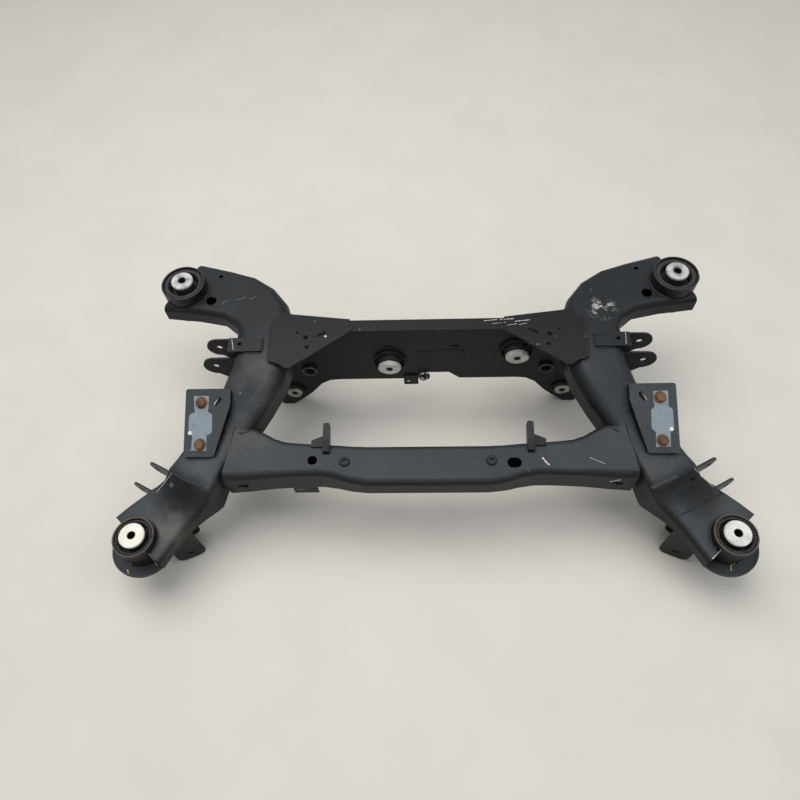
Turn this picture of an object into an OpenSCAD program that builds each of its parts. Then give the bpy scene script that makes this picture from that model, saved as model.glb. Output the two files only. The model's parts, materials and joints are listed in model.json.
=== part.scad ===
// Axle subframe: two pressed side members joined by a front and a rear crossmember,
// with four rubber body mounts, two gear housing mounts and brackets for the links.
// Millimetres. X is across, +Y runs from the front mounts to the rear mounts, Z is up from the floor.

/* [Body mounts] */
// Distance of each front mount from the centre plane
front_mount_x = 560; // [545:1:575]
// Front mounts ahead of the middle between the mounts
front_mount_y = 252; // [244:1:260]
// Distance of each rear mount from the centre plane
rear_mount_x = 509; // [498:1:520]
// Rear mounts behind the middle between the mounts
rear_mount_y = 252; // [246:1:258]
// Outer radius of the front mount sleeves
front_sleeve_r = 39.5; // [36:0.5:44]
// Outer radius of the rear mount sleeves
rear_sleeve_r = 45; // [41:0.5:48]
// Wall of every bushing sleeve
sleeve_wall = 3; // [2:0.5:4]
// Length of the front mount sleeves
front_sleeve_len = 74; // [66:1:84]
// Length of the rear mount sleeves
rear_sleeve_len = 72; // [64:1:78]
// Height that each sleeve stands above its arm
sleeve_proud = 19; // [12:1:24]
// Radius of the front mount discs
front_disc_r = 24.4; // [21:0.2:27]
// Radius of the rear mount discs
rear_disc_r = 22.5; // [20:0.5:26]
// Height of a disc's top above its sleeve
disc_rise = 9; // [5:1:12]
// Bolt hole through each body mount
mount_bore = 15; // [12:0.5:18]

/* [Side members] */
// Thickness of the pressed sheet
sheet = 3; // [2:0.25:4]
// Outside radius of the folded edges
corner_r = 14; // [9:1:18]
// Outside radius of the upper edges at the neck
neck_corner_r = 30; // [20:1:36]
// Height of the lower shells' walls inside the upper shells
seam_lap = 16; // [10:1:20]
// Height of the seam above the bottom of the members
seam_rise = 8; // [5:1:12]
// Room left between parts that are welded or pressed together
fit_gap = 0.3; // [0.2:0.05:0.5]
// Width of a front arm at its mount
front_end_w = 142; // [134:1:148]
// Width of a front arm in the link pocket
pocket_w = 98; // [90:1:106]
// Width of a side member at its waist
waist_w = 100; // [92:1:108]
// Width of a side member at the shoulder
shoulder_w = 120; // [112:1:126]
// Width of a rear arm
rear_arm_w = 119; // [112:1:126]
// Width of a rear arm at its mount
rear_end_w = 137; // [130:1:144]
// Top of the front arms at the mounts
front_top = 153; // [146:1:160]
// Top of the side members where the front crossmember joins
deck_top = 212; // [206:1:218]
// Top of the side members and crossmember at the rear
rear_top = 284; // [276:1:292]
// Depth of a front arm
front_depth = 43; // [38:1:50]
// Depth of a side member in the middle
waist_depth = 76; // [68:1:84]
// Depth of a rear arm
rear_depth = 48; // [42:1:56]
// Distance of the waist from the centre plane
waist_x = 392; // [386:1:398]
// Distance of the neck from the centre plane
neck_x = 332; // [327:1:337]
// Radius of the plate round each front sleeve
tongue_r = 61; // [55:1:66]

/* [Front crossmember] */
// Top of the front crossmember
front_beam_top = 216; // [213:1:222]
// Width in the middle
front_beam_mid_w = 81; // [74:1:90]
// Width beside the middle
front_beam_w = 66; // [60:1:76]
// Front face in the middle, from the middle between the mounts
front_beam_face = 165; // [160:1:170]
// Depth in the middle
front_beam_mid_depth = 56; // [50:1:64]
// Depth beside the middle
front_beam_depth = 73; // [66:1:80]
// Half length of the wide middle stretch
front_beam_mid_x = 115; // [100:1:130]
// Distance of the hooks from the centre plane
hook_x = 196; // [185:1:205]
// Width of a hook
hook_w = 13; // [9:1:18]
// Round hole in the top
deck_hole = 19; // [12:1:24]

/* [Rear crossmember] */
// Front face of the rear crossmember
rear_beam_y = 138; // [132:1:144]
// Depth of its flanges
rear_beam_depth = 27; // [22:1:34]
// Reach of its lower ears beyond the lower link bushings
ear_reach = 40; // [34:1:46]
// Height of its lower edge
rear_beam_low = 104; // [96:1:112]
// Distance of the left gear housing mount from the centre plane
left_gear_x = 80; // [70:1:90]
// Height of the left gear housing mount
left_gear_z = 178; // [168:1:188]
// Distance of the right gear housing mount from the centre plane
right_gear_x = 187; // [178:1:196]
// Height of the right gear housing mount
right_gear_z = 212; // [204:1:220]
// Outer radius of the gear housing mounts
gear_sleeve_r = 36; // [32:1:40]
// Length of the gear housing mounts
gear_sleeve_len = 58; // [50:1:66]
// Bolt hole through the gear housing mounts
gear_bore = 14; // [10:0.5:16]
// Distance of the lower link bushings from the centre plane
lower_link_x = 305; // [297:1:313]
// Height of the lower link bushings
lower_link_z = 62; // [54:1:70]
// Outer radius of the lower link bushings
lower_link_r = 24; // [20:1:28]
// Bolt hole through the lower link bushings
lower_link_bore = 13; // [10:0.5:15]
// Distance of the ring sleeves from the centre plane
ring_x = 257; // [250:1:262]
// Height of the ring sleeves
ring_z = 148; // [142:1:156]
// Outer radius of the ring sleeves
ring_r = 16.5; // [14:0.5:20]
// Inner radius of the ring sleeves
ring_bore_r = 10; // [7:0.5:12]

/* [Brackets] */
// Thickness of the bracket plates
bracket_t = 4; // [3:0.5:5]
// Distance of the upper arm bolts from the centre plane
arm_bolt_x = 432; // [424:1:440]
// Place of the upper arm bolts along the frame
arm_bolt_y = 112; // [106:1:118]
// Height of the upper arm bolts
arm_bolt_z = 240; // [234:1:246]
// Clear width between the ears of an upper arm bracket
arm_gap = 42; // [36:1:50]
// Outer radius of the bracket ears
ear_r = 26; // [22:1:30]
// Bolt hole of the bracket ears
ear_bore = 13; // [10:0.5:15]
// Slope of the bar seats
seat_slope = 22; // [18:1:24]
// Length of a bar seat along its slope
seat_len = 133; // [126:1:140]
// Outer edge of a bar seat from the centre plane
seat_out_x = 472; // [464:1:480]
// Width of a bar seat at its rear edge
seat_w = 88; // [80:1:96]
// Distance between the two bolts of a bar seat
seat_bolt_span = 82; // [76:1:90]
// Thread diameter of the seat bolts
seat_bolt_d = 10; // [8:1:12]
// Height of the front link bolts
link_z = 134; // [128:1:142]
// Clear width between the ears of a front link bracket
link_gap = 46; // [40:1:52]
// Outer radius of the front link ears
link_ear_r = 20; // [17:1:24]
// Width of a lower bracket
tab_w = 58; // [50:1:64]
// Clear width between the two walls of a lower bracket
tab_gap = 44; // [38:1:50]

/* [Hidden] */

$fn = 48;
coat = [0.14, 0.15, 0.16];
rubber = [0.05, 0.05, 0.05];
alloy = [0.70, 0.70, 0.67];
rusty = [0.40, 0.25, 0.15];

// Stations of the right side member from front to rear:
// x, y, heading in degrees, half width, top, bottom, cross slope, radius of the upper edges
front_heading = 132;
pocket_heading = 120;
rear_heading = 28;
front_y = -front_mount_y;
waist_top = (deck_top + rear_top) / 2 - 13;
front_end_half = max(front_end_w / 2, front_sleeve_r + 2 * sheet + 8);
rear_end_half = max(rear_end_w / 2, rear_sleeve_r + 2 * sheet + 10);

// The origin lies below the middle of the bounding box
frame_front = front_mount_y + tongue_r;
frame_back = rear_mount_y + 16 + rear_end_half * cos(rear_heading);
frame_shift = (frame_front - frame_back) / 2;

side_stations = [
    [front_mount_x + 4 * sin(front_heading), front_y - 4 * cos(front_heading), front_heading, front_end_half,
        front_top, front_top - front_depth, 0, corner_r],
    [front_mount_x - 39, front_y + 58, pocket_heading + 2, pocket_w / 2 + 11, front_top + 3,
        front_top - front_depth, 0, corner_r],
    [front_mount_x - 84, front_y + 91, pocket_heading, pocket_w / 2 + 5, front_top + 25,
        front_top - front_depth + 1, 0, corner_r],
    [front_mount_x - 102, front_y + 104, pocket_heading - 2, pocket_w / 2 + 4, deck_top - 3,
        front_top - front_depth + 2, 0, corner_r],
    [front_mount_x - 122, -108, 124, pocket_w / 2, deck_top + 1, deck_top - 84, 0, corner_r],
    [waist_x, -27, 118, waist_w / 2, waist_top, waist_top - waist_depth, 0, neck_corner_r - 4],
    [neck_x + 8, 51, 107, shoulder_w / 2 - 4, rear_top - 3, rear_top - 3 - waist_depth, 0, neck_corner_r],
    [neck_x, 125, 85, shoulder_w / 2, rear_top, rear_top - waist_depth, 0, neck_corner_r],
    [neck_x + 8, 183, 52, shoulder_w / 2 + 2, rear_top, rear_top - (waist_depth + rear_depth) / 2, 0,
        neck_corner_r - 6],
    [rear_mount_x - 114, rear_mount_y - 14, rear_heading, rear_arm_w / 2, rear_top, rear_top - rear_depth, 0,
        corner_r],
    [rear_mount_x + 11, rear_mount_y + 16, rear_heading, rear_end_half, rear_top, rear_top - rear_depth, 0,
        corner_r]];

// Names of the stations that other parts refer to
FRONT = 0;
CREASE = 1;
RIDGE = 3;
DECK = 4;
WAIST = 5;
NECK = 7;
REAR = 9;

// Stations of the front crossmember from the centre plane to the right
beam_mid_y = front_beam_mid_w / 2 - front_beam_face;
beam_far = front_beam_mid_w - front_beam_face + 6;
beam_y = beam_far - front_beam_w / 2;
beam_stations = [
    [0, beam_mid_y, 0, front_beam_mid_w / 2, front_beam_top, front_beam_top - front_beam_mid_depth, 0, corner_r],
    [front_beam_mid_x, beam_mid_y, 0, front_beam_mid_w / 2, front_beam_top,
        front_beam_top - front_beam_mid_depth, 0, corner_r],
    [front_beam_mid_x + 90, beam_y, 0, front_beam_w / 2, front_beam_top,
        front_beam_top - front_beam_depth, 0, corner_r],
    [front_beam_mid_x + 165, beam_y + 2, 0, front_beam_w / 2 + 4, front_beam_top,
        front_beam_top - front_beam_depth, 0, corner_r],
    [waist_x - 50, beam_y + 12, 0, front_beam_w / 2 + 18, front_beam_top + 4,
        front_beam_top - front_beam_depth + 2, -0.12, corner_r],
    [waist_x, beam_y + 12, 0, front_beam_w / 2 + 21, deck_top + 16,
        front_beam_top - front_beam_depth + 4, -0.2, corner_r]];

front_sleeve_top = front_top + sleeve_proud;
rear_sleeve_top = rear_top + sleeve_proud + 5;

// Change per station that keeps a curve through the stations from overshooting
function station_slope(rows, i) =
    i == 0 ? rows[1] - rows[0] :
    i == len(rows) - 1 ? rows[i] - rows[i - 1] :
    [for (k = [0:len(rows[0]) - 1])
        let(a = rows[i][k] - rows[i - 1][k], b = rows[i + 1][k] - rows[i][k])
        a * b <= 0 ? 0 : 2 * a * b / (a + b)];

// One station between two given ones
function between(rows, i, t) =
    let(p = rows[i], q = rows[i + 1], m = station_slope(rows, i), n = station_slope(rows, i + 1))
    p + (q - p) * (t * t * (3 - 2 * t)) + m * (t * (1 - t) * (1 - t)) - n * (t * t * (1 - t));

// A smooth run of stations with the given number of steps between neighbours
function smooth(rows, steps) = concat(
    [for (i = [0:len(rows) - 2]) for (k = [0:steps - 1]) between(rows, i, k / steps)],
    [rows[len(rows) - 1]]);

function mirrored(rows) = [for (i = [len(rows) - 1:-1:1])
    let(r = rows[i]) [-r[0], r[1], r[2], r[3], r[4], r[5], r[6], r[7]]];

side_steps = 2;
side_path = smooth(side_stations, side_steps);
beam_half = smooth(beam_stations, 3);
beam_path = concat(mirrored(beam_half), beam_half);

function arc(x, z, r, from, to, steps = 4) = [for (k = [0:steps])
    let(a = from + (to - from) * k / steps) [x + r * cos(a), z + r * sin(a)]];

// Section of the whole member, with its edges rounded above and below
function closed_section(half, top, low, r, r_low) = concat(
    arc(half - r, top - r, r, 0, 90), arc(r - half, top - r, r, 90, 180),
    arc(r_low - half, low + r_low, r_low, 180, 270, 1), arc(half - r_low, low + r_low, r_low, 270, 360, 1));

// Section that is rounded at the top and square at the bottom
function hood_section(half, top, low, r) = concat(
    arc(half - r, top - r, r, 0, 90), arc(r - half, top - r, r, 90, 180), [[-half, low], [half, low]]);

// Section that is square at the top and rounded at the bottom
function pan_section(half, top, low, r) = concat(
    [[half, top], [-half, top]], arc(r - half, low + r, r, 180, 270, 2), arc(half - r, low + r, r, 270, 360, 2));

// A section stood upright across its station
function ring_at(row, loop) = [for (p = loop)
    [row[0] + p[0] * sin(row[2]), row[1] - p[0] * cos(row[2]), p[1] + row[6] * p[0]]];

// The same run of stations with a short stretch added at both ends
function extended(path, by) =
    let(a = path[0], b = path[len(path) - 1])
    concat([a - [cos(a[2]), sin(a[2]), 0, 0, 0, 0, 0, 0] * by], path,
        [b + [cos(b[2]), sin(b[2]), 0, 0, 0, 0, 0, 0] * by]);

// Two triangles over a face between two sections, split so that they bulge outwards
function split_face(points, a, b, c, d) =
    cross(points[b] - points[a], points[c] - points[a]) * (points[d] - points[a]) > 0 ?
    [[a, b, c], [a, c, d]] : [[b, c, d], [b, d, a]];

// Solid through a run of sections with equal point counts
module loft(rings) {
    n = len(rings[0]);
    last = (len(rings) - 1) * n;
    points = [for (ring = rings) each ring];
    sides = [for (i = [0:len(rings) - 2]) for (k = [0:n - 1])
        let(a = i * n + k, b = i * n + (k + 1) % n)
        each split_face(points, a, b, b + n, a + n)];
    caps = [[for (k = [n - 1:-1:0]) k], [for (k = [0:n - 1]) last + k]];
    polyhedron(points, concat(caps, sides), convexity = 8);
}

// Blends each section of a run into the next
module sweep(path, loops) {
    for (i = [0:len(path) - 2])
        hull() loft([ring_at(path[i], loops[i]), ring_at(path[i + 1], loops[i + 1])]);
}

// Pressed channel that opens downwards along a run of stations
module upper_shell(path) {
    inside = extended(path, 2);
    difference() {
        sweep(path, [for (r = path) hood_section(r[3], r[4], r[5] + seam_rise, r[7])]);
        sweep(inside, [for (r = inside)
            hood_section(r[3] - sheet, r[4] - sheet, r[5] + seam_rise - 6, r[7] - sheet)]);
    }
}

// Shallow pressed pan that closes the channel from below
module lower_shell(path) {
    inside = extended(path, 2);
    inset = sheet + fit_gap;
    lip = seam_rise + seam_lap;
    r_out = corner_r - inset;
    difference() {
        sweep(path, [for (r = path) pan_section(r[3] - inset, r[5] + lip, r[5], r_out)]);
        sweep(inside, [for (r = inside)
            pan_section(r[3] - inset - sheet, r[5] + lip + 6, r[5] + sheet, r_out - sheet)]);
    }
}

module envelope(path, grow) {
    loft([for (r = path) ring_at(r, closed_section(r[3] + grow, r[4] + grow, r[5] - grow,
        r[7] + grow, min(seam_rise, corner_r) + grow))]);
}

// The right side member as a solid, between two of its stations
module side_solid(from, to, grow = fit_gap) {
    steps = side_steps;
    envelope([for (i = [from * steps:to * steps]) side_path[i]], grow);
}

module both_sides() {
    children();
    mirror([1, 0, 0]) children();
}

// A flat outline stood up facing the front, its thickness running to the rear
module upright(y, t) {
    translate([0, y, 0]) mirror([0, 1, 0]) rotate([90, 0, 0]) linear_extrude(t) children();
}

// A turned part with its axis running from front to rear
module along_y(x, y, z) {
    translate([x, y, z]) rotate([-90, 0, 0]) children();
}

module front_mount_at() {
    translate([front_mount_x, front_y, 0]) children();
}

module rear_mount_at() {
    translate([rear_mount_x, rear_mount_y, 0]) children();
}

// Side members

module side_upper() {
    color(coat) difference() {
        upper_shell(side_path);
        front_mount_at() cylinder(r = front_sleeve_r + fit_gap, h = 400);
        rear_mount_at() cylinder(r = rear_sleeve_r + fit_gap, h = 400);
        translate([rear_mount_x - 58, rear_mount_y - 29, rear_top - 10]) cylinder(d = 22, h = 20);
        translate([rear_mount_x - 69, rear_mount_y + 37, rear_top - 10]) cylinder(d = 9, h = 20);
    }
}

module side_lower() {
    tongue_z = front_top - front_depth - 0.4;
    color(coat) difference() {
        union() {
            lower_shell(side_path);
            front_mount_at() rotate([0, 0, front_heading + 86]) rotate_extrude(angle = 188, $fn = 64)
                polygon([[front_sleeve_r - 2, tongue_z], [tongue_r, tongue_z], [tongue_r, tongue_z + 7],
                    [tongue_r - sheet, tongue_z + 7], [tongue_r - sheet, tongue_z + sheet + 0.8],
                    [front_sleeve_r - 2, tongue_z + sheet + 0.8]]);
        }
        front_mount_at() cylinder(r = front_sleeve_r + fit_gap, h = 400);
        rear_mount_at() {
            cylinder(r = rear_sleeve_r + fit_gap, h = 400);
            rotate([0, 0, 10]) translate([-2, -100, 0]) cube([200, 200, 400]);
        }
    }
}

// Body mounts

module mount_sleeve(r, top, len) {
    color(coat) translate([0, 0, top - len]) rotate_extrude($fn = 64)
        polygon([[r - sleeve_wall, 0], [r, 0], [r, len - 1.5], [r - 1.5, len], [r - sleeve_wall, len]]);
}

module mount_rubber(r, disc_r, top, len) {
    out = r - sleeve_wall - fit_gap;
    in = mount_bore / 2 + 6 + fit_gap;
    lip = disc_r + 0.4 * (out - disc_r);
    color(rubber) translate([0, 0, top - len]) rotate_extrude($fn = 64)
        polygon([[in, 4], [out, 6], [out, len - 4], [out - 2, len - 2.5], [lip + 2, len - 2.5], [lip, len - 5],
            [lip - 1, len - 22], [disc_r - 2, len - 22], [disc_r - 4, len + disc_rise - 7],
            [in, len + disc_rise - 7]]);
}

module mount_core(disc_r, top, len) {
    bore = mount_bore / 2;
    high = len + disc_rise;
    color(alloy) translate([0, 0, top - len]) rotate_extrude($fn = 64)
        polygon([[bore, -2], [bore + 6, -2], [bore + 6, high - 6], [disc_r, high - 6], [disc_r, high - 1.5],
            [disc_r - 1.5, high], [bore + 1, high], [bore, high - 1]]);
}

// Crossmembers

// The ends of the front crossmember follow the side members
module front_beam_trim() {
    both_sides() {
        side_solid(CREASE, NECK);
        linear_extrude(400) polygon([[waist_x - 18, -50], [waist_x, -140], [waist_x, -220],
            [waist_x + 80, -220], [waist_x + 80, 60], [waist_x - 18, 60]]);
    }
}

module front_crossmember_upper() {
    color(coat) difference() {
        upper_shell(beam_path);
        front_beam_trim();
        translate([-hook_x - 26, beam_mid_y + 8, front_beam_top - 20]) cylinder(d = deck_hole, h = 40);
        for (dx = [-3, 3])
            translate([hook_x - 33 + dx, beam_mid_y, front_beam_top - 20]) cylinder(d = deck_hole + 2, h = 40);
        both_sides() translate([waist_x - 42, -front_beam_face, front_beam_top - 42]) cube([22, 40, 6]);
    }
}

module front_crossmember_lower() {
    color(coat) difference() {
        lower_shell(beam_path);
        front_beam_trim();
    }
}

rear_ear_x = lower_link_x + ear_reach;

// Outline of the rear crossmember seen from the front
module rear_outline(inset = 0) {
    offset(r = 7 - inset, $fn = 24) offset(delta = -7) difference() {
        both_sides() polygon([[-1, rear_top], [rear_ear_x, rear_top], [rear_ear_x, 0],
            [lower_link_x + 12, 0], [lower_link_x - 17, lower_link_z - 35], [lower_link_x - 39, lower_link_z - 12],
            [lower_link_x - 65, rear_beam_low - 18], [lower_link_x - 86, rear_beam_low - 3],
            [lower_link_x - 110, rear_beam_low], [-1, rear_beam_low]]);
        translate([22, rear_beam_low]) polygon([[-70, -30], [70, -30], [48, 2], [26, 24], [-28, 24], [-48, 4]]);
    }
}

module rear_beam_holes(y, depth) {
    hole_gap = fit_gap;
    along_y(-left_gear_x, y, left_gear_z) cylinder(r = gear_sleeve_r + hole_gap, h = depth);
    along_y(right_gear_x, y, right_gear_z) cylinder(r = gear_sleeve_r + hole_gap, h = depth);
    both_sides() {
        along_y(lower_link_x, y, lower_link_z) cylinder(r = lower_link_r + hole_gap, h = depth);
        along_y(ring_x, y, ring_z) cylinder(r = ring_r + hole_gap, h = depth);
    }
}

module rear_crossmember_front() {
    color(coat) difference() {
        upright(rear_beam_y, rear_beam_depth) rear_outline();
        upright(rear_beam_y + sheet, rear_beam_depth) rear_outline(sheet);
        both_sides() side_solid(WAIST, REAR);
        rear_beam_holes(rear_beam_y - 1, sheet + 2);
        for (x = [-left_gear_x, 59])
            translate([x - 8, rear_beam_y - 1, rear_top - 59]) cube([16, sheet + 2, 5]);
    }
}

module rear_crossmember_back() {
    y = rear_beam_y + rear_beam_depth - sheet;
    color(coat) difference() {
        upright(y, sheet) rear_outline(sheet + fit_gap);
        both_sides() side_solid(WAIST, REAR);
        rear_beam_holes(y - 1, sheet + 2);
    }
}

// Flat plate that ties the top of the rear crossmember to a side member
module gusset_plate() {
    front_tip = neck_x - 61;
    out = neck_x - 20;
    back = rear_beam_y + rear_beam_depth;
    color(coat) translate([0, 0, rear_top + fit_gap]) linear_extrude(sheet) difference() {
        polygon([[154, rear_beam_y - 2], [front_tip, 49], [front_tip + 9, 50], [out - 16, 61], [out, 66],
            [out + 3, 158], [out - 20, back + 22], [front_tip + 4, back + 16], [156, back + 1]]);
        translate([262, 134]) circle(d = 5);
        translate([243, 122]) circle(d = 10);
        translate([239, 98]) circle(d = 9);
        translate([212, 130]) rotate(-32) {
            square([16, 6], center = true);
            for (x = [-8, 8]) translate([x, 0]) circle(d = 6);
        }
    }
}

// Gear housing and link bushings in the rear crossmember

gear_front = rear_beam_y - 6;

module gear_sleeve() {
    color(coat) rotate_extrude($fn = 64)
        polygon([[gear_sleeve_r - sleeve_wall, 0], [gear_sleeve_r - 1, 0], [gear_sleeve_r, 1],
            [gear_sleeve_r, gear_sleeve_len], [gear_sleeve_r - sleeve_wall, gear_sleeve_len]]);
}

module gear_rubber() {
    out = gear_sleeve_r - sleeve_wall - fit_gap;
    in = gear_bore / 2 + 9 + fit_gap;
    color(rubber) rotate_extrude($fn = 64)
        polygon([[in, -6], [in + 5, -6], [in + 8, 12], [out - 4, 12], [out - 1, 3], [out, 5],
            [out, gear_sleeve_len - 4], [in, gear_sleeve_len - 2]]);
}

// Cast core with a lemon-shaped face
module gear_core() {
    nose = 18;
    color(alloy) difference() {
        union() {
            translate([0, 0, -nose]) cylinder(r = gear_bore / 2 + 9, h = gear_sleeve_len + nose);
            translate([0, 0, -nose]) linear_extrude(10) intersection() {
                translate([0, -6]) circle(r = 25);
                translate([0, 6]) circle(r = 25);
            }
        }
        translate([0, 0, -nose - 1]) cylinder(d = gear_bore, h = gear_sleeve_len + nose + 2);
    }
}

link_front = rear_beam_y - 5;
link_len = rear_beam_depth + 12;

module lower_link_sleeve() {
    color(coat) rotate_extrude() polygon([[lower_link_r - sleeve_wall, 0], [lower_link_r, 0],
        [lower_link_r, link_len], [lower_link_r - sleeve_wall, link_len]]);
}

module lower_link_rubber() {
    out = lower_link_r - sleeve_wall - fit_gap;
    in = lower_link_bore / 2 + 4 + fit_gap;
    color(rubber) rotate_extrude() polygon([[in, -1.5], [out - 4, -1.5], [out, 3], [out, link_len - 3], [in, link_len]]);
}

module lower_link_core() {
    bore = lower_link_bore / 2;
    wide = lower_link_r - 7;
    color(alloy) rotate_extrude() polygon([[bore, -5], [wide, -5], [wide, -2], [bore + 4, -2],
        [bore + 4, link_len + 2], [bore, link_len + 2]]);
}

module ring_sleeve() {
    color(coat) rotate_extrude() polygon([[ring_bore_r, 0], [ring_r - 1, 0], [ring_r, 1],
        [ring_r, rear_beam_depth + 10], [ring_bore_r, rear_beam_depth + 10]]);
}

// Brackets

// Saddle over a side member with two ears for the upper arm
module upper_arm_bracket() {
    color(coat) difference() {
        union() {
            for (side = [-1, 1])
                upright(arm_bolt_y + side * (arm_gap + bracket_t) / 2 - bracket_t / 2, bracket_t) {
                    translate([arm_bolt_x, arm_bolt_z]) circle(r = ear_r);
                    polygon([[neck_x + 30, arm_bolt_z + ear_r + 2], [arm_bolt_x + 4, arm_bolt_z + ear_r - 0.4],
                        [arm_bolt_x, arm_bolt_z - ear_r], [arm_bolt_x - 24, arm_bolt_z - ear_r - 22],
                        [neck_x + 30, arm_bolt_z - ear_r - 22]]);
                }
            translate([neck_x - 2, arm_bolt_y - arm_gap / 2 - 1, rear_top - 30])
                cube([68, arm_gap - 9, bracket_t + 30]);
            translate([neck_x + 30, arm_bolt_y - arm_gap / 2 - 1, arm_bolt_z - ear_r])
                cube([36, arm_gap + 2, 2 * ear_r]);
        }
        side_solid(WAIST, REAR);
        along_y(arm_bolt_x, arm_bolt_y - arm_gap, arm_bolt_z) cylinder(d = ear_bore, h = 2 * arm_gap);
        translate([neck_x + 43, arm_bolt_y - 4, rear_top - 20]) cylinder(d = 8, h = 40);
    }
}

// Outline of a bar seat in its own sloping plane, the rear edge at zero
module seat_outline() {
    polygon([[seat_out_x - seat_w, 0], [seat_out_x, 0], [seat_out_x, -seat_len],
        [seat_out_x - seat_w + 29, -seat_len], [seat_out_x - seat_w, -32]]);
}

module seat_frame() {
    translate([0, 13, rear_top - 12]) rotate([seat_slope, 0, 0]) children();
}

seat_bolt_x = seat_out_x - 32;
seat_bolt_mid = -seat_len / 2 - 2;

module seat_bolt_places() {
    for (side = [-1, 1])
        translate([seat_bolt_x, seat_bolt_mid + side * seat_bolt_span / 2, 0]) children();
}

module bar_seat() {
    skirt = 36;
    color(coat) difference() {
        seat_frame() difference() {
            translate([0, 0, -skirt]) linear_extrude(skirt)
                offset(r = 5, $fn = 24) offset(delta = -5) seat_outline();
            translate([0, 0, -skirt - 1]) linear_extrude(skirt + 1 - bracket_t)
                offset(r = 5 - sheet, $fn = 24) offset(delta = -5) seat_outline();
            seat_bolt_places() translate([0, 0, -skirt]) cylinder(d = seat_bolt_d + 1, h = 2 * skirt);
            translate([seat_out_x - 63, -25, -10]) rotate([0, 0, -52]) {
                cube([12, 9, 40], center = true);
                for (x = [-6, 6]) translate([x, 0, -20]) cylinder(d = 9, h = 40);
            }
        }
        side_solid(RIDGE, NECK);
    }
}

// Flange-head bolts left in the bar seats
module seat_bolts() {
    color(rusty) both_sides() seat_frame() seat_bolt_places() translate([0, 0, fit_gap]) {
        cylinder(r = 11.5, h = 2);
        translate([0, 0, 2]) cylinder(r = 9, h = 8, $fn = 6);
        translate([0, 0, -bracket_t - 6]) cylinder(d = seat_bolt_d, h = bracket_t + 7);
    }
}

link_bolt_x = front_mount_x + 7;
link_bolt_y = front_y + 137;
link_turn = 28;

module link_frame() {
    translate([link_bolt_x, link_bolt_y, link_z]) rotate([0, 0, link_turn]) children();
}

// Two ears on the outside of a front arm with a web along the arm between them
module front_link_bracket() {
    reach = 80;
    color(coat) difference() {
        union() {
            link_frame() for (side = [-1, 1])
                upright(side * (link_gap + bracket_t) / 2 - bracket_t / 2, bracket_t) {
                    circle(r = link_ear_r);
                    polygon([[0, link_ear_r], [-reach, link_ear_r + 5], [-reach, -link_ear_r], [0, -link_ear_r]]);
                }
            intersection() {
                link_frame() translate([-reach, -link_gap / 2 - 1, -link_ear_r])
                    cube([reach, link_gap + 2, 2 * link_ear_r - 2]);
                side_solid(FRONT, WAIST, fit_gap + sheet);
            }
        }
        side_solid(FRONT, WAIST);
        link_frame() along_y(0, -link_gap, 0) cylinder(d = ear_bore, h = 2 * link_gap);
    }
}

tab_x = front_mount_x - 63;
tab_y = front_y + 15;
tab_turn = -24;

// Pressed U-shaped bracket hung under a front arm, its walls facing front and rear
module lower_bracket() {
    tall = front_top - front_depth / 2;
    outer = tab_gap + 2 * bracket_t;
    color(coat) difference() {
        translate([tab_x, tab_y, 0]) rotate([0, 0, tab_turn]) difference() {
            upright(0, outer) {
                translate([-tab_w / 2, 18]) square([tab_w, tall - 18]);
                translate([18 - tab_w / 2, 0]) square([tab_w - 36, tall]);
                for (x = [18 - tab_w / 2, tab_w / 2 - 18]) translate([x, 18]) circle(r = 18);
            }
            translate([-tab_w, bracket_t, -1]) cube([2 * tab_w - tab_w / 2 - bracket_t, tab_gap, tall + 2]);
            along_y(0, -1, 30) cylinder(d = ear_bore, h = outer + 2);
        }
        side_solid(FRONT, DECK);
        front_mount_at() translate([0, 0, front_sleeve_top - front_sleeve_len - fit_gap])
            cylinder(r = front_sleeve_r + fit_gap, h = front_sleeve_len);
    }
}

// Bent bar that reaches back from the top of the front crossmember
module hook() {
    foot = beam_mid_y + 19;
    tip = foot + 61;
    color(coat) difference() {
        union() {
            intersection() {
                translate([hook_x - hook_w / 2, 0, 0]) rotate([90, 0, 90]) linear_extrude(hook_w)
                    polygon([[foot, front_beam_top - 4], [foot + 4, front_beam_top + 8],
                        [foot + 24, front_beam_top + 15], [tip - 4, front_beam_top + 21], [tip, front_beam_top + 17],
                        [tip - 2, front_beam_top + 11], [foot + 26, front_beam_top - 6]]);
                translate([hook_x, 0, front_beam_top - 20]) linear_extrude(60) {
                    translate([-hook_w / 2, foot]) square([hook_w, tip - foot - hook_w / 2]);
                    translate([0, tip - hook_w / 2]) circle(d = hook_w);
                }
            }
            translate([hook_x, beam_far, front_beam_top - 12]) linear_extrude(16)
                polygon([[-2, -12], [30, -12], [30, 2], [4, 14], [-2, 14]]);
        }
        envelope(beam_path, fit_gap);
    }
}

// Nuts welded on the top of the front crossmember
module deck_nuts() {
    color(coat) for (x = [36 - hook_x, hook_x - 76])
        translate([x, beam_mid_y + 4, front_beam_top + fit_gap]) rotate_extrude()
            polygon([[4.5, 0], [10, 0], [10, 3], [7.5, 5], [4.5, 5]]);
}

// Strap with a ring under the middle of the rear crossmember
module line_clip() {
    x = -36;
    y = rear_beam_y - bracket_t - fit_gap;
    color(coat) difference() {
        union() {
            upright(y, bracket_t) {
                translate([x - 16, rear_beam_low - 18]) square([32, 34]);
                translate([x, rear_beam_low + 8]) square([34, 8]);
            }
            along_y(x + 34, y - 3, rear_beam_low + 14) cylinder(r = 8, h = bracket_t + 3);
        }
        along_y(x + 34, y - 4, rear_beam_low + 14) cylinder(r = 5, h = bracket_t + 6);
        along_y(x - 6, y - 1, rear_beam_low - 8) cylinder(r = 4.5, h = bracket_t + 2);
    }
}

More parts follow.
